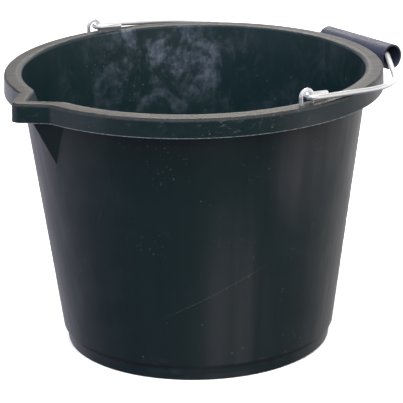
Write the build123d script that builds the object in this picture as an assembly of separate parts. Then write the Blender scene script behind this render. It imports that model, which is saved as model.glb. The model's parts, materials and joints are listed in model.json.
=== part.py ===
from build123d import *
import math
import os

# Black plastic builder's bucket with a pouring spout, a zinc-coated wire bail
# held by two wire staples, and a loose plastic tube grip on the bail.
#
# Frame: origin at the centre of the base, on the floor; +Z up.  The bail
# swings about an axis along Y and rests on the +X side; the spout points to -X.
# All lengths in millimetres.

# ---- bucket, overall -------------------------------------------------------
bucket_h = 250.5          # floor to rim top
rim_r = 167.5             # outer radius of the rim at its top
rim_w = 12.6              # the rim stands out this far from the body wall
wall_foot_r = 123.0       # outer radius of the body wall just above the foot
wall_t = 3.0              # body wall

# ---- foot ------------------------------------------------------------------
foot_r = 118.7            # outer radius of the foot ring on the floor
foot_step_r = 120.4       # foot ring at the lower line of the step
foot_step_lo = 11.0       # height of the lower line of the step
foot_step_hi = 15.0       # height of the upper line of the step
foot_ring_w = 5.0         # width of the ring that stands on the floor
foot_recess = 4.0         # floor of the bucket is this far above the ground
floor_t = 3.5             # thickness of the bucket's floor
floor_inner_r = 7.0       # inside radius between floor and wall
foot_edge_r = 1.5         # rounding of the foot's outer and inner edges

# ---- rim -------------------------------------------------------------------
skirt_h = 16.8            # height of the turned-down skirt
skirt_flare = 0.5         # the skirt stands out this much more at its lower edge
rim_top_t = 3.2           # thickness of the rim's top web
skirt_t = 2.8             # thickness of the skirt
rim_slope_w = 7.0         # outer part of the rim's top, which slopes outwards
rim_slope_drop = 0.35     # and drops this much on the way
rim_outer_edge_r = 2.2    # rounding of the rim's outer top edge
rim_inner_edge_r = 2.8    # rounding of the mouth

# ---- spout -----------------------------------------------------------------
nose_out = 22.8           # the 45 degree sides of the nose cross this far outside the rim
nose_tip_r = 8.0          # rounding of the nose in plan
nose_root_r = 7.0         # rounding where the nose leaves the round rim
crease_in = 10.3          # outer crease of the spout, at the rim top, inside that crossing
crease_lean = 0.535       # outward travel of the crease per unit of height
crease_half = 50.0        # half angle of the spout's underside in plan, degrees
crease_r = 1.2            # rounding of the outer crease
trough_half = 45.0        # half angle of the pouring trough in plan, degrees
trough_r = 3.5            # rounding along the bottom of the pouring trough
trough_root_r = 28.0      # rounding where the trough opens into the mouth
spout_deep = 85.0         # the spout's wedge reaches this far down, past where it meets the wall
spout_half_w = 60.0       # half width of the wedges where they are buried in the round wall

# ---- staples ---------------------------------------------------------------
staple_wire = 3.7
staple_in = 8.5           # middle of each staple, inside the rim's outer edge
staple_r = 5.9            # arch radius, wire centre line
staple_fit = 0.05         # gap round each leg in its hole
clinch_r = 2.6            # bend radius of the turned-over legs, wire centre line
clinch_len = 7.0          # straight part of the turned-over legs
clinch_gap = 0.1          # the bend starts this far under the rim's web

# ---- bail ------------------------------------------------------------------
bail_wire = 4.7
hook_r = 5.5              # hairpin hook, wire centre line
hook_tail = 20.0          # straight tail of the hook
bail_out = 20.5           # middle of the run that carries the grip, outside the rim
arm_lean = 52.84          # angle between each slanting arm and the line through the spout
shoulder_in = 2.4         # side and arm would meet this much nearer the middle than the staple
shoulder_r = 85.0         # bend between them
run_short = 2.7           # the grip run would meet each arm this far inside the tube's end
corner_r = 30.0
bail_end_r = 0.8          # rounding of the cut ends

# ---- grip ------------------------------------------------------------------
grip_od = 23.6
grip_wall = 2.0
grip_len = 93.0
grip_drop = 2.734         # tube's axis is this much lower than the wire's middle
grip_shift = -3.5         # the loose tube has slid this far along the bail
grip_edge_r = 0.5

# ---- gap between pieces that move ------------------------------------------
clearance = 0.35

# ---- worked out from the sizes above ---------------------------------------
wall_top_r = rim_r - rim_w            # outer radius of the body wall carried up to the rim top
nose_x = rim_r + nose_out
crease_top = nose_x - crease_in
staple_y = rim_r - staple_in
bail_reach = rim_r + bail_out
shoulder_y = staple_y - shoulder_in
corner_y = grip_len / 2 - run_short
shoulder_x = bail_reach - (shoulder_y - corner_y) / math.tan(math.radians(arm_lean))
pivot_z = bucket_h + staple_r
skirt_top = bucket_h - rim_slope_drop # where the slope of the rim's top would meet the skirt
rim_slope = math.atan2(rim_slope_drop, rim_slope_w)
# middle of the rounding of the rim's outer edge, under the rim top
rim_edge_drop = (
    rim_slope_drop * (1 - rim_outer_edge_r / rim_slope_w) + rim_outer_edge_r / math.cos(rim_slope)
)
cut_over = 12.0                       # cutting solids stand this far past the surface they open
side_step = 0.5                       # spacing of the points tried along the bail's side


def wall_r(z):
    """Outer radius of the body wall at height z."""
    t = (z - foot_step_hi) / (bucket_h - foot_step_hi)
    return wall_foot_r + t * (wall_top_r - wall_foot_r)


def outermost(face):
    """The two vertices of a face that are furthest out along Y, one each side."""
    rows = face.vertices().group_by(Axis.Y)
    return [rows[0][0], rows[-1][0]]


def rim_outline(grow, z):
    """Plan outline of the rim: a circle with a 90 degree nose, grown by `grow`."""
    r = rim_r + grow
    tip = nose_x + grow * math.sqrt(2)
    w = spout_half_w
    nose = Polygon((-tip, 0), (w - tip, -w), (w - tip, w), align=None)
    face = (Circle(r) + nose).face()
    face = fillet(face.vertices().group_by(Axis.X)[0], nose_tip_r + grow).face()
    face = fillet(outermost(face), nose_root_r - grow).face()
    return Plane.XY.offset(z) * face


def spout_wedge(tip_top, half_angle, tip_r, root_r, base_r, z_low, z_high):
    """Leaning wedge whose roots may curve into a circle of radius base_r."""
    w = spout_half_w
    back = w / math.tan(math.radians(half_angle)) - tip_top
    nose = Polygon((-tip_top, 0), (back, -w), (back, w), align=None)
    face = (Circle(base_r) + nose).face()
    face = fillet(face.vertices().group_by(Axis.X)[0], tip_r).face()
    if root_r > 0:
        face = fillet(outermost(face), root_r).face()
    keep = Pos(-tip_top, 0) * Rectangle(2 * w, 2 * w)
    face = (face & keep).face()
    drop = bucket_h - z_low
    face = Pos(crease_lean * drop, 0, z_low) * face
    height = z_high - z_low
    lean = Vector(-crease_lean, 0, 1)
    return extrude(face, amount=height * lean.length, dir=lean)


def body_solid():
    """Outside of the body and foot, solid right through."""
    with BuildSketch(Plane.XZ) as s:
        with BuildLine():
            Polyline(
                (0, 0),
                (foot_r, 0),
                (foot_step_r, foot_step_lo),
                (wall_foot_r, foot_step_hi),
                (wall_top_r, bucket_h),
                (0, bucket_h),
                close=True,
            )
        make_face()
    body = revolve(s.sketch, Axis.Z)
    floor_edge = body.edges().filter_by(GeomType.CIRCLE).group_by(Axis.Z)[0]
    return fillet(floor_edge, foot_edge_r)


def body_hollow():
    """Space inside the body, open at the top."""
    z0 = foot_recess + floor_t
    top = bucket_h + cut_over
    with BuildSketch(Plane.XZ) as s:
        with BuildLine():
            Polyline(
                (0, z0),
                (wall_r(z0) - wall_t, z0),
                (wall_r(top) - wall_t, top),
                (0, top),
                close=True,
            )
        make_face()
        corner = s.vertices().group_by(Axis.Y)[0].sort_by(Axis.X)[-1]
        fillet(corner, floor_inner_r)
    return revolve(s.sketch, Axis.Z)


def foot_hollow():
    """Shallow recess under the floor, inside the foot ring."""
    r = foot_r - foot_ring_w
    recess = Pos(0, 0, (foot_recess - cut_over) / 2) * Cylinder(r, foot_recess + cut_over)
    corner = recess.edges().filter_by(GeomType.CIRCLE).group_by(Axis.Z)[-1]
    return fillet(corner, foot_edge_r)


def rim_solid():
    """Rim web and skirt, following the nose of the spout."""
    low = rim_outline(skirt_flare, bucket_h - skirt_h)
    edge = rim_outline(0, skirt_top)
    top = rim_outline(-rim_slope_w, bucket_h)
    return loft([low, edge, top], ruled=True)


def rim_channel():
    """Space under the rim web, inside the skirt."""
    flare = skirt_flare / skirt_h
    depth = skirt_h + cut_over
    top = rim_outline(flare * rim_top_t - skirt_t, bucket_h - rim_top_t)
    low = rim_outline(flare * depth - skirt_t, bucket_h - depth)
    return loft([low, top], ruled=True)


def staple_holes():
    """Two holes through the rim web for each staple."""
    holes = []
    for side in (-1, 1):
        for leg in (-1, 1):
            hole = Cylinder(staple_wire / 2 + staple_fit, rim_top_t + 2 * cut_over)
            holes.append(Pos(leg * staple_r, side * staple_y, bucket_h - rim_top_t / 2) * hole)
    return holes


def mouth_edges(solid):
    """Inner edges of the rim's flat top."""
    flat = solid.faces().filter_by(Axis.Z).sort_by(Axis.Z)[-1]
    return flat.inner_wires().sort_by(SortBy.LENGTH)[-1].edges()


def bucket():
    # the trough's back is set in so that its wall is wall_t thick, square to its sides
    set_in = wall_t * math.sqrt(2 + crease_lean ** 2)
    trough_tip = crease_top - set_in
    mouth_r = wall_top_r - wall_t
    z_low = bucket_h - spout_deep
    solid = rim_solid() - rim_channel()
    solid += body_solid()
    solid += spout_wedge(
        crease_top, crease_half, crease_r, 0, wall_top_r - wall_t / 2, z_low, bucket_h
    )
    solid -= body_hollow()
    solid -= spout_wedge(
        trough_tip,
        trough_half,
        trough_r,
        trough_root_r,
        mouth_r,
        z_low - cut_over,
        bucket_h + cut_over,
    )
    solid -= foot_hollow()
    outline = solid.edges().filter_by_position(Axis.Z, skirt_top - 0.01, skirt_top + 0.01)
    solid = fillet(outline, rim_outer_edge_r)
    solid = fillet(mouth_edges(solid), rim_inner_edge_r)
    for hole in staple_holes():
        solid -= hole
    return solid


def rounded_path(points, radii):
    """Straight runs joined by tangent arcs; radii are for the inner points."""
    edges = []
    start = Vector(*points[0])
    for k, r in enumerate(radii, start=1):
        here = Vector(*points[k])
        back = (Vector(*points[k - 1]) - here).normalized()
        ahead = (Vector(*points[k + 1]) - here).normalized()
        half = math.acos(back.dot(ahead)) / 2
        reach = r / math.tan(half)
        a = here + back * reach
        b = here + ahead * reach
        mid = here + (back + ahead).normalized() * (r / math.sin(half) - r)
        edges.append(Line(start, a))
        edges.append(ThreePointArc(a, mid, b))
        start = b
    edges.append(Line(start, Vector(*points[-1])))
    return edges


def wire_along(edges, diameter):
    """Round wire swept along tangent edges."""
    path = Wire(edges)
    section = Plane(origin=path @ 0, z_dir=path % 0) * Circle(diameter / 2)
    return sweep(section, path=path)


def staple(side):
    """Arch over the rim; its legs go through the web and are turned over under it."""
    y = side * staple_y
    bend_z = bucket_h - rim_top_t - clinch_gap - clinch_r
    foot_x = staple_r + clinch_r + clinch_len
    left = rounded_path(
        [(-foot_x, y, bend_z), (-staple_r, y, bend_z), (-staple_r, y, pivot_z)], [clinch_r]
    )
    arch = ThreePointArc(
        (-staple_r, y, pivot_z), (0, y, pivot_z + staple_r), (staple_r, y, pivot_z)
    )
    right = rounded_path(
        [(staple_r, y, pivot_z), (staple_r, y, bend_z), (foot_x, y, bend_z)], [clinch_r]
    )
    return wire_along(left + [arch] + right, staple_wire)


def hook_x():
    """Middle of the hook's bend: its inside lies against the staple's leg."""
    return staple_r - staple_wire / 2 - clearance - bail_wire / 2 + hook_r


def hook_leave_angle():
    """Angle at which the bail's side leaves its hook towards the shoulder."""
    dx = shoulder_x - hook_x()
    dy = shoulder_y - staple_y
    return math.atan2(dy, dx) - math.asin(hook_r / math.hypot(dx, dy))


def bail_side(side):
    """Hook, side, arm and half of the grip run, in the bail's own level plane."""
    a = hook_leave_angle()
    cx = hook_x()
    tail_y = side * (staple_y - hook_r)
    tail = Line((cx + hook_tail, tail_y), (cx, tail_y))
    leave = (cx - hook_r * math.sin(a), side * (staple_y + hook_r * math.cos(a)))
    bend = ThreePointArc((cx, tail_y), (cx - hook_r, side * staple_y), leave)
    run = rounded_path(
        [leave, (shoulder_x, side * shoulder_y), (bail_reach, side * corner_y), (bail_reach, 0)],
        [shoulder_r, corner_r],
    )
    return [tail, bend] + run


def rest_droop():
    """Angle below level at which the bail's sides lie on the rim, less the clearance."""
    a = hook_leave_angle()
    need = bail_wire / 2 + rim_outer_edge_r + clearance
    ring = rim_r - rim_outer_edge_r
    best = math.pi / 2
    x = hook_x() + 2 * hook_r
    out = 0
    while out < need:
        up = staple_r + rim_edge_drop - math.sqrt(need ** 2 - max(out, 0) ** 2)
        best = min(best, math.atan2(up, x))
        x += side_step
        y = staple_y + hook_r / math.cos(a) + (x - hook_x()) * math.tan(a)
        out = math.hypot(x, y) - ring
    return math.degrees(best)


def bail():
    near = bail_side(-1)
    far = bail_side(1)
    flat = wire_along(near + far[::-1], bail_wire)
    ends = flat.edges().filter_by(GeomType.CIRCLE)
    ends = [e for e in ends if abs(e.center().X - hook_x() - hook_tail) < 0.01]
    flat = fillet(ends, bail_end_r)
    return Pos(0, 0, pivot_z) * Rot(0, rest_droop(), 0) * flat


def grip_out():
    """How much farther out than the wire's middle the tube's axis lies, where its
    bore just clears the bends that start inside its ends."""
    turn = math.radians(90 - arm_lean)
    straight = corner_y - corner_r * math.tan(turn / 2)
    into_bend = max(grip_len / 2 + abs(grip_shift) - straight, 0)
    slope = math.asin(into_bend / corner_r)
    bent_in = corner_r * (1 - math.cos(slope))
    wider = bail_wire / 2 * (1 / math.cos(slope) - 1)
    free = grip_od / 2 - grip_wall - bail_wire / 2 - clearance
    return math.sqrt(free ** 2 - grip_drop ** 2) - bent_in - wider


def grip():
    """Tube hanging on the bail's middle run."""
    tube = Cylinder(grip_od / 2, grip_len) - Cylinder(grip_od / 2 - grip_wall, grip_len)
    tube = fillet(tube.edges().filter_by(GeomType.CIRCLE), grip_edge_r)
    flat = Pos(bail_reach + grip_out(), grip_shift, -grip_drop) * Rot(90, 0, 0) * tube
    return Pos(0, 0, pivot_z) * Rot(0, rest_droop(), 0) * flat


parts = {
    "bucket": bucket(),
    "front_staple": staple(-1),
    "rear_staple": staple(1),
    "bail": bail(),
    "grip": grip(),
}
os.makedirs("parts", exist_ok=True)
for name, shape in parts.items():
    export_step(shape, f"parts/{name}.step")
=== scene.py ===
import json
import math
import bpy
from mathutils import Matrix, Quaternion, Vector


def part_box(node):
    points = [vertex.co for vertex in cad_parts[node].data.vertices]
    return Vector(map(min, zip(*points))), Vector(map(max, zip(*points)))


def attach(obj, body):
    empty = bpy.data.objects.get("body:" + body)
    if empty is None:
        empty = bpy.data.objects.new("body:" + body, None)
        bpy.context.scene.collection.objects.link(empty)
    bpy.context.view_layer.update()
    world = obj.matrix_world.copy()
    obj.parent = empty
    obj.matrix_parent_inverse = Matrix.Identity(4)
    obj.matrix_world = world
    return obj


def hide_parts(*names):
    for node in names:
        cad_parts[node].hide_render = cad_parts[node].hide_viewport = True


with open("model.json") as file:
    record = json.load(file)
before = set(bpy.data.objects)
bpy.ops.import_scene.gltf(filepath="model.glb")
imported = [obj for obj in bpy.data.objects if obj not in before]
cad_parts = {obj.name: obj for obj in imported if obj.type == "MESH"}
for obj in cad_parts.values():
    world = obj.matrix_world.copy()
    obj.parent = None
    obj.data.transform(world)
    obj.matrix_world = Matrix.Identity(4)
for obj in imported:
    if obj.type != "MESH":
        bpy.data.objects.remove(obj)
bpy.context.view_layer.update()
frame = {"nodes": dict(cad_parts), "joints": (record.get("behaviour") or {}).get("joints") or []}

# Black polyethylene builder's bucket: pouring spout, zinc-coated wire bail held by two
# wire staples, and a loose plastic tube on the bail.  Metres; +Z up; the origin is the
# middle of the foot on the floor; the spout points to -X and the bail lies on the +X side.

# ---------------------------------------------------------------- sizes
RIM_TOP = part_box("bucket")[1].z
RIM_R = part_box("bucket")[1].y                  # outer radius of the rim at its skirt
RIM_W = 0.0131                                 # the skirt stands this far off the body wall
SKIRT_H = 0.0168
WALL_T = 0.003
WALL_SLOPE = 0.1355                            # outward travel of the wall per unit of height
WALL_TOP_R = RIM_R - RIM_W
FLOOR_TOP = 0.006                              # a little under the floor's upper face

STAPLE_WIRE = 0.0037
STAPLE_R = 0.0059                              # arch radius, to the wire's middle
STAPLE_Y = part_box("rear_staple")[1].y - STAPLE_WIRE / 2
CLINCH_R = 0.0026                              # bend under the rim
CLINCH_LEN = 0.007                             # straight end past that bend

BAIL_WIRE = 0.0047
HOOK_R = 0.0055
HOOK_TAIL = 0.020
PLAY = 0.00035                                 # hook to staple
BAIL_REACH = 0.188                             # pivot to the run that carries the grip
SHOULDER_Y = 0.1566
SHOULDER_R = 0.085
CORNER_Y = 0.0438
CORNER_R = 0.030
ARM_LEAN = math.radians(52.84)
REST_DROOP = math.radians(5.0431)              # under level, at rest on the rim

WIRE_SIDES = 28
BEND_STEPS = 14
END_TRIM = 0.0007                              # cut ends are rounded off over this length
END_THICK = 0.72                               # and to this share of the wire's diameter
SAME_POINT = 0.00002


# ---------------------------------------------------------------- node shorthand
class Wiring:
    """Adds and joins nodes in one tree.  A value is a socket, a number or a tuple."""

    def __init__(self, tree):
        self.tree = tree

    def node(self, kind, settings=None, **inputs):
        made = self.tree.nodes.new(kind)
        for key, value in (settings or {}).items():
            setattr(made, key, value)
        for key, value in inputs.items():
            self.put(made.inputs[key.replace("_", " ")], value)
        return made

    def put(self, socket, value):
        if isinstance(value, bpy.types.NodeSocket):
            self.tree.links.new(value, socket)
        elif value is not None:
            socket.default_value = value

    def math(self, operation, a, b=None, clamp=False):
        made = self.tree.nodes.new("ShaderNodeMath")
        made.operation = operation
        made.use_clamp = clamp
        for socket, value in zip(made.inputs, (a, b)):
            self.put(socket, value)
        return made.outputs[0]

    def product(self, first, *rest, clamp=False):
        """Multiplies all of them, in the order given."""
        for k, factor in enumerate(rest):
            first = self.math("MULTIPLY", first, factor, clamp and k == len(rest) - 1)
        return first

    def vec(self, operation, a, b=None):
        made = self.tree.nodes.new("ShaderNodeVectorMath")
        made.operation = operation
        self.put(made.inputs[0], a)
        if operation == "SCALE":
            self.put(made.inputs["Scale"], b)
        else:
            self.put(made.inputs[1], b)
        return made.outputs["Value" if operation in ("LENGTH", "DOT_PRODUCT") else "Vector"]

    def join_xyz(self, x, y, z):
        return self.node("ShaderNodeCombineXYZ", X=x, Y=y, Z=z).outputs[0]

    def noise(self, vector, scale, detail=2.0, rough=0.5, twist=0.0):
        made = self.node(
            "ShaderNodeTexNoise",
            Vector=vector,
            Scale=scale,
            Detail=detail,
            Roughness=rough,
            Distortion=twist,
        )
        return made.outputs["Fac"]

    def span(self, value, low, high, to_low=0.0, to_high=1.0, smooth=False):
        """Maps low..high to to_low..to_high, clamped."""
        made = self.tree.nodes.new("ShaderNodeMapRange")
        made.interpolation_type = "SMOOTHSTEP" if smooth else "LINEAR"
        for socket, v in zip(made.inputs, (value, low, high, to_low, to_high)):
            self.put(socket, v)
        return made.outputs[0]

    def patch(self, place, centre, stretch, edge, core, strength):
        """Soft round patch: full strength inside the core radius, nothing past the edge."""
        away = self.vec("MULTIPLY", self.vec("SUBTRACT", place, centre), stretch)
        away = self.vec("LENGTH", away)
        return self.span(away, edge, core, 0.0, strength, smooth=True)

    def line(self, value, middle, edge, core):
        """Thin line where the value is at its middle."""
        off = self.math("ABSOLUTE", self.math("SUBTRACT", value, middle))
        return self.span(off, edge, core)

    def mix(self, fac, a, b):
        made = self.tree.nodes.new("ShaderNodeMix")
        made.data_type = "RGBA"
        for socket, v in zip((made.inputs[0], made.inputs[6], made.inputs[7]), (fac, a, b)):
            self.put(socket, v)
        return made.outputs[2]

    def bump(self, height, strength, distance, normal=None):
        made = self.node(
            "ShaderNodeBump", Height=height, Strength=strength, Distance=distance, Normal=normal
        )
        return made.outputs[0]


def new_group(name, inputs, outputs):
    """Empty shader node group with named sockets; gives its wiring, inputs and outputs."""
    tree = bpy.data.node_groups.new(name, "ShaderNodeTree")
    for label, kind, value in inputs:
        socket = tree.interface.new_socket(label, in_out="INPUT", socket_type=kind)
        if value is not None:
            socket.default_value = value
    for label, kind in outputs:
        tree.interface.new_socket(label, in_out="OUTPUT", socket_type=kind)
    w = Wiring(tree)
    return w, tree.nodes.new("NodeGroupInput").outputs, tree.nodes.new("NodeGroupOutput").inputs


FLOAT = "NodeSocketFloat"
VECTOR = "NodeSocketVector"


def scratch_group():
    """Hairline scratches: short lengths of thin wandering lines."""
    w, given, out = new_group(
        "hairline_scratches",
        [("Vector", VECTOR, None), ("Spacing", FLOAT, 30.0), ("Width", FLOAT, 0.012),
         ("Cover", FLOAT, 0.5)],
        [("Mask", FLOAT)],
    )
    bend = w.node("ShaderNodeTexNoise", Vector=given["Vector"], Scale=9.0, Detail=1.0)
    push = w.vec("SCALE", w.vec("SUBTRACT", bend.outputs["Color"], (0.5, 0.5, 0.5)), 0.05)
    moved = w.vec("ADD", given["Vector"], push)
    cells = w.node(
        "ShaderNodeTexVoronoi",
        {"feature": "DISTANCE_TO_EDGE"},
        Vector=moved,
        Scale=given["Spacing"],
        Randomness=1.0,
    )
    line = w.span(cells.outputs["Distance"], 0.0, given["Width"], 1.0, 0.0)
    lengths = w.noise(moved, w.math("MULTIPLY", given["Spacing"], 1.7), 1.0)
    edge = w.span(given["Cover"], 0.0, 1.0, 0.75, 0.35)
    kept = w.span(lengths, edge, w.math("ADD", edge, 0.06))
    w.put(out["Mask"], w.math("MULTIPLY", line, kept))
    return w.tree


def speck_group():
    """Small dust specks and nicks, in loose drifts."""
    w, given, out = new_group(
        "dust_specks",
        [("Vector", VECTOR, None), ("Spacing", FLOAT, 300.0), ("Size", FLOAT, 0.18),
         ("Cover", FLOAT, 0.5)],
        [("Mask", FLOAT)],
    )
    cells = w.node("ShaderNodeTexVoronoi", Vector=given["Vector"], Scale=given["Spacing"])
    shade = w.node("ShaderNodeSeparateColor", Color=cells.outputs["Color"])
    size = w.math("MULTIPLY", given["Size"], w.math("POWER", shade.outputs[0], 3.0))
    dot = w.math("LESS_THAN", cells.outputs["Distance"], size)
    drift = w.noise(given["Vector"], w.math("MULTIPLY", given["Spacing"], 0.06), 3.0, 0.6)
    edge = w.span(given["Cover"], 0.0, 1.0, 0.7, 0.3)
    kept = w.span(drift, edge, w.math("ADD", edge, 0.12))
    w.put(out["Mask"], w.math("MULTIPLY", dot, kept))
    return w.tree


def cloud_group():
    """Soft uneven patches, for handling marks, dust film and changes of shade."""
    w, given, out = new_group(
        "cloudy_film",
        [("Vector", VECTOR, None), ("Spacing", FLOAT, 20.0), ("Cover", FLOAT, 0.5),
         ("Softness", FLOAT, 0.2)],
        [("Mask", FLOAT)],
    )
    broad = w.noise(given["Vector"], given["Spacing"], 5.0, 0.62, 0.6)
    fine = w.noise(given["Vector"], w.math("MULTIPLY", given["Spacing"], 7.3), 3.0, 0.6)
    both = w.math("ADD", w.math("MULTIPLY", broad, 0.78), w.math("MULTIPLY", fine, 0.22))
    edge = w.span(given["Cover"], 0.0, 1.0, 0.68, 0.32)
    w.put(out["Mask"], w.span(both, edge, w.math("ADD", edge, given["Softness"]), smooth=True))
    return w.tree


SCRATCHES = scratch_group()
SPECKS = speck_group()
CLOUDS = cloud_group()


def use(w, group, **values):
    made = w.tree.nodes.new("ShaderNodeGroup")
    made.node_tree = group
    for label, value in values.items():
        w.put(made.inputs[label], value)
    return made.outputs[0]


def new_material(name):
    made = bpy.data.materials.new(name)
    made.use_nodes = True
    made.node_tree.nodes.clear()
    w = Wiring(made.node_tree)
    shader = w.node("ShaderNodeBsdfPrincipled")
    w.node("ShaderNodeOutputMaterial", Surface=shader.outputs[0])
    return made, w, shader.inputs


# ---------------------------------------------------------------- finishes
def bucket_plastic():
    """Recycled black polyethylene, satin from the mould, scuffed and dusty in use; painted
    highlights on the rim's edges and the front, painted shade on top of the rim.
    """
    made, w, shader = new_material("black_polyethylene")
    place = w.node("ShaderNodeTexCoord").outputs["Object"]
    xyz = w.node("ShaderNodeSeparateXYZ", Vector=place)
    x, y, z = xyz.outputs
    flat = w.join_xyz(x, y, 0.0)
    r = w.vec("LENGTH", flat)
    round_way = w.vec("SCALE", flat, w.math("DIVIDE", WALL_TOP_R, w.math("MAXIMUM", r, 0.01)))
    way = w.node("ShaderNodeSeparateXYZ", Vector=round_way)
    drawn = w.join_xyz(way.outputs[0], way.outputs[1], w.math("MULTIPLY", z, 0.045))

    # where on the moulding
    depth = w.math("SUBTRACT", RIM_TOP, z)
    wall_mid = w.math("SUBTRACT", WALL_TOP_R - WALL_T / 2, w.math("MULTIPLY", depth, WALL_SLOPE))
    inside = w.math("LESS_THAN", r, wall_mid)
    inside = w.math("MULTIPLY", inside, w.math("GREATER_THAN", z, FLOOR_TOP))
    on_skirt = w.span(r, RIM_R - 0.004, RIM_R - 0.003)
    on_rim = w.math("MULTIPLY", w.span(depth, SKIRT_H + 0.0005, SKIRT_H), on_skirt)
    near_foot = w.span(z, 0.045, 0.0, smooth=True)
    top_face = w.span(depth, 0.0022, 0.0012)

    # patterns
    streaks = w.noise(drawn, 230.0, 4.0, 0.62)
    bands = w.noise(drawn, 42.0, 3.0, 0.5)
    grain = w.noise(place, 1500.0, 2.0, 0.6)
    peel = w.noise(place, 260.0, 3.0, 0.5)
    slump = w.noise(place, 16.0, 2.0, 0.45)
    film = use(w, CLOUDS, Vector=place, Spacing=15.0, Cover=0.42, Softness=0.3)
    film_in = use(w, CLOUDS, Vector=w.vec("MULTIPLY", place, (1.0, 1.0, 0.8)), Spacing=30.0,
                  Cover=0.62, Softness=0.30)
    scuff = use(w, CLOUDS, Vector=w.vec("MULTIPLY", place, (1.0, 1.0, 2.6)), Spacing=90.0,
                Cover=0.3, Softness=0.12)
    scuff_fine = w.noise(place, 420.0, 3.0, 0.6)
    slant = w.node("ShaderNodeVectorRotate", {"rotation_type": "EULER_XYZ"}, Vector=place,
                   Rotation=(0.5, 0.35, 0.7)).outputs[0]
    fine_scratch = use(w, SCRATCHES, Vector=w.vec("MULTIPLY", slant, (1.0, 0.22, 0.22)),
                       Spacing=60.0, Width=0.005, Cover=0.22)
    specks = use(w, SPECKS, Vector=place, Spacing=420.0, Size=0.32, Cover=0.42)
    nicks = use(w, SPECKS, Vector=w.vec("ADD", place, (0.13, 0.41, 0.2)), Spacing=120.0,
                Size=0.17, Cover=0.3)

    # moulded colour; painted shade makes the top face of the rim darker and browner, standing in
    # for its dark reflection
    colour = w.mix(bands, (0.0034, 0.0108, 0.0130, 1), (0.0054, 0.0150, 0.0170, 1))
    colour = w.mix(w.math("MULTIPLY", top_face, w.span(r, 0.150, 0.156)), colour,
                   (0.0060, 0.0070, 0.0075, 1))
    colour = w.mix(w.math("MULTIPLY", film, 0.3), colour, (0.018, 0.024, 0.028, 1))

    # a lighter bluish patch high on the far inside wall, over a thin lighter film
    far_wall_patch = w.patch(place, (0.062, 0.135, 0.225), (1.0, 1.0, 1.3), 0.10, 0.02, 1.0)
    inside_film = w.math("ADD", w.math("MULTIPLY", far_wall_patch, 0.95), 0.12)
    inside_film = w.product(film_in, inside_film, inside)
    colour = w.mix(inside_film, colour, (0.095, 0.110, 0.150, 1))

    # painted highlights outside: a cloudy lighter patch, and a lighter upright streak under it,
    # standing in for reflections
    painted_sheen = w.math(
        "ADD",
        w.patch(place, (0.008, -0.15, 0.195), (1.0, 1.0, 0.7), 0.055, 0.01, 0.9),
        w.patch(place, (-0.046, -0.121, 0.06), (1.0, 1.0, 0.3), 0.048, 0.004, 0.6),
    )
    painted_sheen = w.product(painted_sheen, w.span(bands, 0.35, 0.65, 0.25, 1.0),
                     w.math("SUBTRACT", 1.0, inside), clamp=True)
    colour = w.mix(painted_sheen, colour, (0.036, 0.038, 0.042, 1))

    # painted highlights: light lines along the rim's inner edge and outer rounding, broken up by
    # fine noise
    outer_round = w.math("MULTIPLY", w.span(depth, 0.0008, 0.0014), w.span(depth, 0.0034, 0.0024))
    outer_round = w.math("MULTIPLY", outer_round, w.span(r, RIM_R - 0.0024, RIM_R - 0.0014))
    inner_edge = w.math("MULTIPLY", w.line(r, WALL_TOP_R + 0.0012, 0.0012, 0.0004), top_face)
    rim_edge_highlight = w.math("MAXIMUM", w.math("MULTIPLY", outer_round, 0.3),
                    w.math("MULTIPLY", inner_edge, 0.7))
    rim_edge_highlight = w.math("MULTIPLY", rim_edge_highlight, w.span(scuff_fine, 0.3, 0.6, 0.3, 1.0))
    colour = w.mix(rim_edge_highlight, colour, (0.060, 0.065, 0.066, 1))

    # scuffs on the skirt and foot, worst beside the front staple
    rub = w.vec("LENGTH", w.vec("SUBTRACT", place, (-0.055, -0.158, 0.242)))
    rub = w.math("MULTIPLY", w.span(rub, 0.05, 0.015, 0.0, 0.9), on_rim)
    worn = w.math("ADD", w.math("MULTIPLY", on_rim, 0.25), w.math("MULTIPLY", near_foot, 0.2))
    worn = w.math("MULTIPLY", scuff, w.math("ADD", worn, rub), clamp=True)
    colour = w.mix(worn, colour, (0.085, 0.088, 0.09, 1))
    # painted highlight: a broken light line along the skirt's lower edge
    skirt_edge_highlight = w.product(w.line(depth, SKIRT_H, 0.0008, 0.0003), on_skirt,
                           w.span(scuff_fine, 0.35, 0.6, 0.35, 1.0))
    colour = w.mix(skirt_edge_highlight, colour, (0.15, 0.16, 0.17, 1))

    # one long faint scratch, rising across the lower front
    level = w.math("ADD", w.math("MULTIPLY", x, 0.42), w.math("MULTIPLY", y, -0.30))
    long_mark = w.product(
        w.line(z, w.math("ADD", level, 0.077), 0.0007, 0.0002),
        w.span(x, -0.10, -0.08),
        w.span(x, -0.02, -0.035),
        w.span(y, -0.02, -0.06),
        w.span(scuff_fine, 0.35, 0.6, 0.1, 0.8),
    )
    marks = w.math("MULTIPLY", fine_scratch, 0.22)
    for mark, strength in ((specks, 0.4), (nicks, 0.55), (long_mark, 0.3)):
        marks = w.math("MAXIMUM", marks, w.math("MULTIPLY", mark, strength))
    colour = w.mix(marks, colour, (0.13, 0.135, 0.13, 1))
    w.put(shader["Base Color"], colour)

    rough = w.span(streaks, 0.3, 0.7, 0.30, 0.40)
    for mask, more in ((film, 0.07), (inside_film, 0.28), (worn, 0.3), (painted_sheen, 0.08)):
        rough = w.math("ADD", rough, w.math("MULTIPLY", mask, more))
    rough = w.math("ADD", rough, w.math("MULTIPLY", marks, 0.2), clamp=True)
    w.put(shader["Roughness"], rough)

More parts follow.
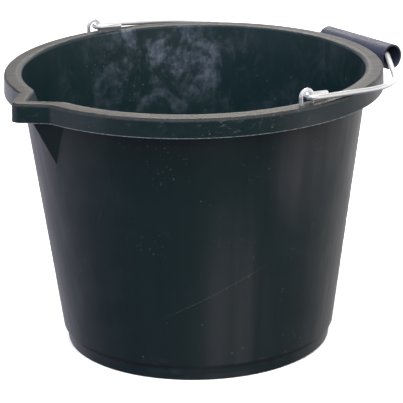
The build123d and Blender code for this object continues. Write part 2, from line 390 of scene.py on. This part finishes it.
    height = w.math("ADD", w.math("MULTIPLY", streaks, 0.30), w.math("MULTIPLY", peel, 0.22))
    height = w.math("ADD", height, w.math("MULTIPLY", grain, 0.10))
    height = w.math("SUBTRACT", height, w.math("MULTIPLY", marks, 0.35))
    small = w.bump(height, 0.22, 0.0002)
    w.put(shader["Normal"], w.bump(slump, 0.5, 0.004, small))
    shader["IOR"].default_value = 1.5
    shader["Specular IOR Level"].default_value = 0.42
    return made


def zinc():
    """Bright zinc-coated steel wire, drawn lengthwise, a little dulled where it rubs."""
    made, w, shader = new_material("zinc_wire")
    place = w.node("ShaderNodeTexCoord").outputs["Object"]
    run = w.node("ShaderNodeAttribute", {"attribute_name": "wire_place"}).outputs["Vector"]
    drawn = w.vec("MULTIPLY", run, (0.06, 1.0, 1.0))
    patch = use(w, CLOUDS, Vector=place, Spacing=95.0, Cover=0.5, Softness=0.3)
    lines = w.noise(drawn, 2600.0, 3.0, 0.6)
    tone = w.noise(run, 600.0, 3.0, 0.6)
    scratch = use(w, SCRATCHES, Vector=w.vec("MULTIPLY", run, (0.3, 1.0, 1.0)), Spacing=300.0,
                  Width=0.04, Cover=0.4)
    dirt = use(w, SPECKS, Vector=place, Spacing=700.0, Size=0.35, Cover=0.35)
    colour = w.mix(tone, (0.80, 0.83, 0.84, 1), (0.93, 0.95, 0.95, 1))
    colour = w.mix(w.math("MULTIPLY", patch, 0.3), colour, (0.66, 0.69, 0.70, 1))
    colour = w.mix(w.math("MULTIPLY", dirt, 0.5), colour, (0.16, 0.15, 0.14, 1))
    w.put(shader["Base Color"], colour)
    rough = w.math("ADD", w.math("MULTIPLY", patch, 0.12), w.math("MULTIPLY", lines, 0.1))
    rough = w.math("ADD", rough, w.math("MULTIPLY", scratch, 0.08))
    w.put(shader["Roughness"], w.math("ADD", rough, 0.24))
    height = w.math("ADD", w.math("MULTIPLY", lines, 0.6), w.math("MULTIPLY", tone, 0.4))
    height = w.math("SUBTRACT", height, w.math("MULTIPLY", scratch, 0.5))
    w.put(shader["Normal"], w.bump(height, 0.25, 0.00005))
    shader["Metallic"].default_value = 0.88
    return made


def grip_plastic():
    """Satin blue-black tube, drawn along its length, rubbed by hands."""
    made, w, shader = new_material("grip_plastic")
    place = w.node("ShaderNodeTexCoord").outputs["Object"]
    along = w.vec("MULTIPLY", place, (1.0, 0.05, 1.0))
    grain = w.noise(along, 2200.0, 4.0, 0.6)
    bands = w.noise(along, 260.0, 3.0, 0.5)
    film = use(w, CLOUDS, Vector=place, Spacing=60.0, Cover=0.5, Softness=0.3)
    scratch = use(w, SCRATCHES, Vector=place, Spacing=90.0, Width=0.012, Cover=0.4)
    specks = use(w, SPECKS, Vector=place, Spacing=600.0, Size=0.3, Cover=0.45)
    colour = w.mix(bands, (0.018, 0.021, 0.036, 1), (0.028, 0.032, 0.050, 1))
    colour = w.mix(w.math("MULTIPLY", film, 0.3), colour, (0.055, 0.058, 0.075, 1))
    marks = w.math("MAXIMUM", w.math("MULTIPLY", scratch, 0.4), w.math("MULTIPLY", specks, 0.4))
    colour = w.mix(marks, colour, (0.16, 0.16, 0.18, 1))
    w.put(shader["Base Color"], colour)
    rough = w.math("ADD", w.math("MULTIPLY", grain, 0.16), w.math("MULTIPLY", film, 0.12))
    w.put(shader["Roughness"], w.math("ADD", rough, 0.34))
    height = w.math("SUBTRACT", grain, w.math("MULTIPLY", marks, 0.5))
    w.put(shader["Normal"], w.bump(height, 0.3, 0.00015))
    shader["Specular IOR Level"].default_value = 0.35
    return made


def finish_node(name, material):
    slots = frame["nodes"][name].data.materials
    slots.clear()
    slots.append(material)


BLACK = bucket_plastic()
ZINC = zinc()
GRIP = grip_plastic()
finish_node("bucket", BLACK)
finish_node("grip", GRIP)


# ---------------------------------------------------------------- bent wire
def bent_wire_tree():
    """Wire along a route of corners: each corner is rounded to its own bend radius."""
    tree = bpy.data.node_groups.new("bent_wire", "GeometryNodeTree")
    tree.is_modifier = True
    geometry = "NodeSocketGeometry"
    tree.interface.new_socket("Route", in_out="INPUT", socket_type=geometry)
    tree.interface.new_socket("Wire Diameter", in_out="INPUT", socket_type=FLOAT)
    tree.interface.new_socket("Sides", in_out="INPUT", socket_type="NodeSocketInt")
    tree.interface.new_socket("Bend Steps", in_out="INPUT", socket_type="NodeSocketInt")
    tree.interface.new_socket("Finish", in_out="INPUT", socket_type="NodeSocketMaterial")
    tree.interface.new_socket("Wire", in_out="OUTPUT", socket_type=geometry)
    w = Wiring(tree)
    given = tree.nodes.new("NodeGroupInput").outputs

    def stored(geo, name, value, kind="FLOAT"):
        made = w.node("GeometryNodeStoreNamedAttribute", {"data_type": kind, "domain": "POINT"},
                      Geometry=geo, Name=name, Value=value)
        return made.outputs[0]

    def named(name):
        return w.node("GeometryNodeInputNamedAttribute", Name=name).outputs[0]

    path = w.node("GeometryNodeMeshToCurve", Mesh=given["Route"]).outputs[0]
    rounded = w.node("GeometryNodeFilletCurve", {"mode": "POLY"}, Curve=path,
                     Count=given["Bend Steps"], Radius=named("bend_radius"))
    # bends that meet share a point, which is merged
    path = w.node("GeometryNodeCurveToMesh", Curve=rounded.outputs[0]).outputs[0]
    path = w.node("GeometryNodeMergeByDistance", Geometry=path,
                  Distance=SAME_POINT).outputs[0]
    path = w.node("GeometryNodeMeshToCurve", Mesh=path).outputs[0]
    along = w.node("GeometryNodeSplineParameter").outputs["Length"]
    path = stored(path, "run", along)
    half = w.math("MULTIPLY", given["Wire Diameter"], 0.5)
    ring = w.node("GeometryNodeCurvePrimitiveCircle", Resolution=given["Sides"],
                  Radius=half).outputs[0]
    around = w.node("GeometryNodeSplineParameter").outputs["Factor"]
    ring = stored(ring, "turn", around)
    tube = w.node("GeometryNodeCurveToMesh", Curve=path, Profile_Curve=ring, Fill_Caps=True)
    w.put(tube.inputs["Scale"], named("thick"))
    angle = w.math("MULTIPLY", named("turn"), math.tau)
    spot = w.join_xyz(named("run"), w.math("MULTIPLY", w.math("COSINE", angle), half),
                      w.math("MULTIPLY", w.math("SINE", angle), half))
    wire = stored(tube.outputs[0], "wire_place", spot, "FLOAT_VECTOR")
    wire = w.node("GeometryNodeSetShadeSmooth", Geometry=wire).outputs[0]
    wire = w.node("GeometryNodeRealizeInstances", Geometry=wire).outputs[0]
    wire = w.node("GeometryNodeSetMaterial", Geometry=wire, Material=given["Finish"]).outputs[0]
    w.put(tree.nodes.new("NodeGroupOutput").inputs[0], wire)
    return tree


def bend_wire(name, route, diameter):
    """Plain mesh of a wire.  route: (point, bend radius) from end to end, in metres."""
    mesh = bpy.data.meshes.new(name + "_route")
    points = [Vector(p) for p, bend in route]
    bends = [bend for p, bend in route]
    first = points[0] + (points[1] - points[0]).normalized() * END_TRIM
    last = points[-1] + (points[-2] - points[-1]).normalized() * END_TRIM
    points = [points[0], first] + points[1:-1] + [last, points[-1]]
    bends = [0.0, 0.0] + bends[1:-1] + [0.0, 0.0]
    thick = [END_THICK] + [1.0] * (len(points) - 2) + [END_THICK]
    mesh.from_pydata(points, [(k, k + 1) for k in range(len(points) - 1)], [])
    for label, values in (("bend_radius", bends), ("thick", thick)):
        layer = mesh.attributes.new(label, "FLOAT", "POINT")
        layer.data.foreach_set("value", values)
    piece = bpy.data.objects.new(name, mesh)
    bpy.context.scene.collection.objects.link(piece)
    modifier = piece.modifiers.new("bent_wire", "NODES")
    modifier.node_group = BENT_WIRE
    sockets = {i.name: i.identifier for i in BENT_WIRE.interface.items_tree}
    modifier[sockets["Wire Diameter"]] = diameter
    modifier[sockets["Sides"]] = WIRE_SIDES
    modifier[sockets["Bend Steps"]] = BEND_STEPS
    modifier[sockets["Finish"]] = ZINC
    seen = piece.evaluated_get(bpy.context.evaluated_depsgraph_get())
    plain = bpy.data.meshes.new_from_object(seen)
    piece.modifiers.clear()
    piece.data = plain
    return piece


def bail_route():
    """Corners of the bail, from the front hook round to the rear one, drooped to its rest."""
    pivot = next(j for j in frame["joints"] if j["name"] == "bail_swing")["pos_m"]
    hook_x = STAPLE_R - STAPLE_WIRE / 2 - PLAY - BAIL_WIRE / 2 + HOOK_R
    shoulder = (BAIL_REACH - (SHOULDER_Y - CORNER_Y) / math.tan(ARM_LEAN), SHOULDER_Y)
    dx, dy = shoulder[0] - hook_x, shoulder[1] - STAPLE_Y
    side = math.atan2(dy, dx) - math.asin(HOOK_R / math.hypot(dx, dy))
    leave_y = STAPLE_Y + HOOK_R / math.cos(side) - HOOK_R * math.tan(side)
    corners = [
        ((hook_x + HOOK_TAIL, STAPLE_Y - HOOK_R), 0.0),
        ((hook_x - HOOK_R, STAPLE_Y - HOOK_R), HOOK_R),
        ((hook_x - HOOK_R, leave_y), HOOK_R),
        (shoulder, SHOULDER_R),
        ((BAIL_REACH, CORNER_Y), CORNER_R),
    ]
    out, down = math.cos(REST_DROOP), math.sin(REST_DROOP)
    half = [((pivot[0] + x * out, -y, pivot[2] - x * down), bend) for (x, y), bend in corners]
    return half + [((x, -y, z), bend) for (x, y, z), bend in reversed(half)]


def staple_route(y):
    """Corners of a staple: turned-over leg, arch over the rim, turned-over leg."""
    low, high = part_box("front_staple")
    under, crown = low.z + STAPLE_WIRE / 2, high.z - STAPLE_WIRE / 2
    foot = STAPLE_R + CLINCH_R + CLINCH_LEN
    half = [
        ((-foot, y, under), 0.0),
        ((-STAPLE_R, y, under), CLINCH_R),
        ((-STAPLE_R, y, crown), STAPLE_R),
    ]
    return half + [((-x, y, z), bend) for (x, y, z), bend in reversed(half)]


BENT_WIRE = bent_wire_tree()
for name, body, route, diameter in (
    ("bail", "bail", bail_route(), BAIL_WIRE),
    ("front_staple", "bucket", staple_route(-STAPLE_Y), STAPLE_WIRE),
    ("rear_staple", "bucket", staple_route(STAPLE_Y), STAPLE_WIRE),
):
    wire = bend_wire(name + "_wire", route, diameter)
    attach(wire, body)
    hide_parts(name)


# ---------------------------------------------------------------- camera, light, floor
def make_camera():
    data = bpy.data.cameras.new("camera")
    data.sensor_width = 36.0
    data.lens = 193.75
    data.clip_end = 50.0
    camera = bpy.data.objects.new("camera", data)
    camera.location = (-1.0865, -1.5064, 0.7424)
    look = Vector((0.00395, -0.00285, 0.12411)) - camera.location
    camera.rotation_mode = "QUATERNION"
    roll = Quaternion((0, 0, 1), -0.018)
    camera.rotation_quaternion = look.to_track_quat("-Z", "Y") @ roll
    bpy.context.scene.collection.objects.link(camera)
    bpy.context.scene.camera = camera


def make_softbox(name, place, aim, size, power, glossy=True, colour=(1.0, 1.0, 1.0)):
    data = bpy.data.lights.new(name, "AREA")
    data.shape = "RECTANGLE"
    data.size, data.size_y = size
    data.energy = power
    data.color = colour
    light = bpy.data.objects.new(name, data)
    light.location = place
    light.rotation_mode = "QUATERNION"
    light.rotation_quaternion = (Vector(aim) - Vector(place)).to_track_quat("-Z", "Y")
    light.visible_glossy = glossy
    bpy.context.scene.collection.objects.link(light)


def make_room():
    """White studio: bright behind and at the sides, darker on the side one looks from."""
    world = bpy.data.worlds.new("studio")
    bpy.context.scene.world = world
    world.use_nodes = True
    world.node_tree.nodes.clear()
    w = Wiring(world.node_tree)
    way = w.node("ShaderNodeTexCoord").outputs["Generated"]
    up = w.node("ShaderNodeSeparateXYZ", Vector=way).outputs[2]
    level_way = w.vec("NORMALIZE", w.vec("MULTIPLY", way, (1.0, 1.0, 0.0)))
    behind = w.vec("DOT_PRODUCT", level_way, (0.585, 0.811, 0.0))
    left = w.vec("DOT_PRODUCT", level_way, (-0.811, 0.585, 0.0))
    # below the horizon: dim in front, brighter to the sides and behind
    low = w.span(behind, -0.80, -0.02, 0.03, 0.60, smooth=True)
    low = w.math("ADD", low, w.span(behind, -0.1, 0.9, 0.0, 0.55))
    low = w.math("MULTIPLY", low, w.span(up, -0.66, -0.42, 0.2, 1.0, smooth=True))
    low = w.math("MULTIPLY", low, w.span(up, -0.38, -0.28, 0.62, 1.0, smooth=True))
    ahead = w.span(behind, -0.3, -0.8, smooth=True)
    low = w.math("ADD", low, w.math("MULTIPLY", ahead,
                                    w.span(up, -0.49, -0.62, 0.0, 0.34, smooth=True)))
    band = w.math("MULTIPLY", w.span(behind, -0.80, -0.45, 0.0, 0.6, smooth=True),
                  w.span(behind, -0.05, -0.3, smooth=True))
    low = w.math("ADD", low, w.math("MULTIPLY", band, w.span(up, -0.44, -0.36, smooth=True)))
    apron = w.vec("DOT_PRODUCT", level_way, (-0.205, -0.979, 0.0))
    apron = w.math("MULTIPLY", w.span(apron, 0.93, 1.0, 0.0, 0.30, smooth=True),
                   w.span(up, -0.53, -0.62, smooth=True))
    low = w.math("ADD", low, apron)
    # above it: bright walls with a dark beam across the back and a dark left corner
    wall = w.span(behind, -0.2, 0.5, 0.8, 1.1, smooth=True)
    beam = w.product(w.span(up, 0.32, 0.46, smooth=True), w.span(up, 0.86, 0.7, smooth=True),
                     w.span(behind, -0.1, 0.3))
    dark_left = w.product(w.span(left, -0.05, 0.05, smooth=True),
                          w.span(up, 0.14, 0.24, smooth=True),
                          w.span(up, 0.55, 0.42, smooth=True))
    beam = w.math("MAXIMUM", w.math("MULTIPLY", beam, 0.85), w.math("MULTIPLY", dark_left, 0.8))
    high = w.math("MULTIPLY", wall, w.math("SUBTRACT", 1.0, beam))
    over = w.span(up, -0.04, 0.06)
    glow = w.math("ADD", w.math("MULTIPLY", high, over),
                  w.math("MULTIPLY", low, w.math("SUBTRACT", 1.0, over)))
    tint = w.mix(w.span(left, -0.2, 0.8), (1.0, 0.96, 0.98, 1), (0.94, 0.91, 1.10, 1))
    seen = w.node("ShaderNodeLightPath").outputs["Is Camera Ray"]
    shown = w.mix(seen, tint, (1.0, 1.0, 1.0, 1))
    back = w.node("ShaderNodeBackground", Color=shown, Strength=w.math("MAXIMUM", glow, seen))
    w.node("ShaderNodeOutputWorld", Surface=back.outputs[0])


def make_floor():
    mesh = bpy.data.meshes.new("floor")
    half = 6.0                                 # metres, each way
    corners = [(-half, -half, 0), (half, -half, 0), (half, half, 0), (-half, half, 0)]
    mesh.from_pydata(corners, [], [(0, 1, 2, 3)])
    floor = bpy.data.objects.new("floor", mesh)
    bpy.context.scene.collection.objects.link(floor)
    made, w, shader = new_material("pale_floor")
    place = w.node("ShaderNodeTexCoord").outputs["Object"]
    pale = w.mix(w.noise(place, 3.0), (0.9, 0.9, 0.9, 1), (0.93, 0.93, 0.93, 1))
    w.put(shader["Base Color"], pale)
    shader["Roughness"].default_value = 0.8
    mesh.materials.append(made)
    floor.visible_glossy = False
    floor.visible_diffuse = False


make_camera()
make_room()
make_floor()
middle = (0.0, 0.0, 0.13)
make_softbox("ceiling_panel", (-0.2, -0.3, 2.6), middle, (3.0, 3.0), 230.0, glossy=False)
make_softbox("front_panel", (-1.3, -1.9, 1.1), middle, (1.8, 1.4), 34.0, glossy=False)
make_softbox("back_softbox", (0.95, 1.3, 1.45), middle, (1.2, 0.3), 14.0, colour=(1.0, 0.92, 0.76))

bpy.context.scene.view_settings.view_transform = "Standard"
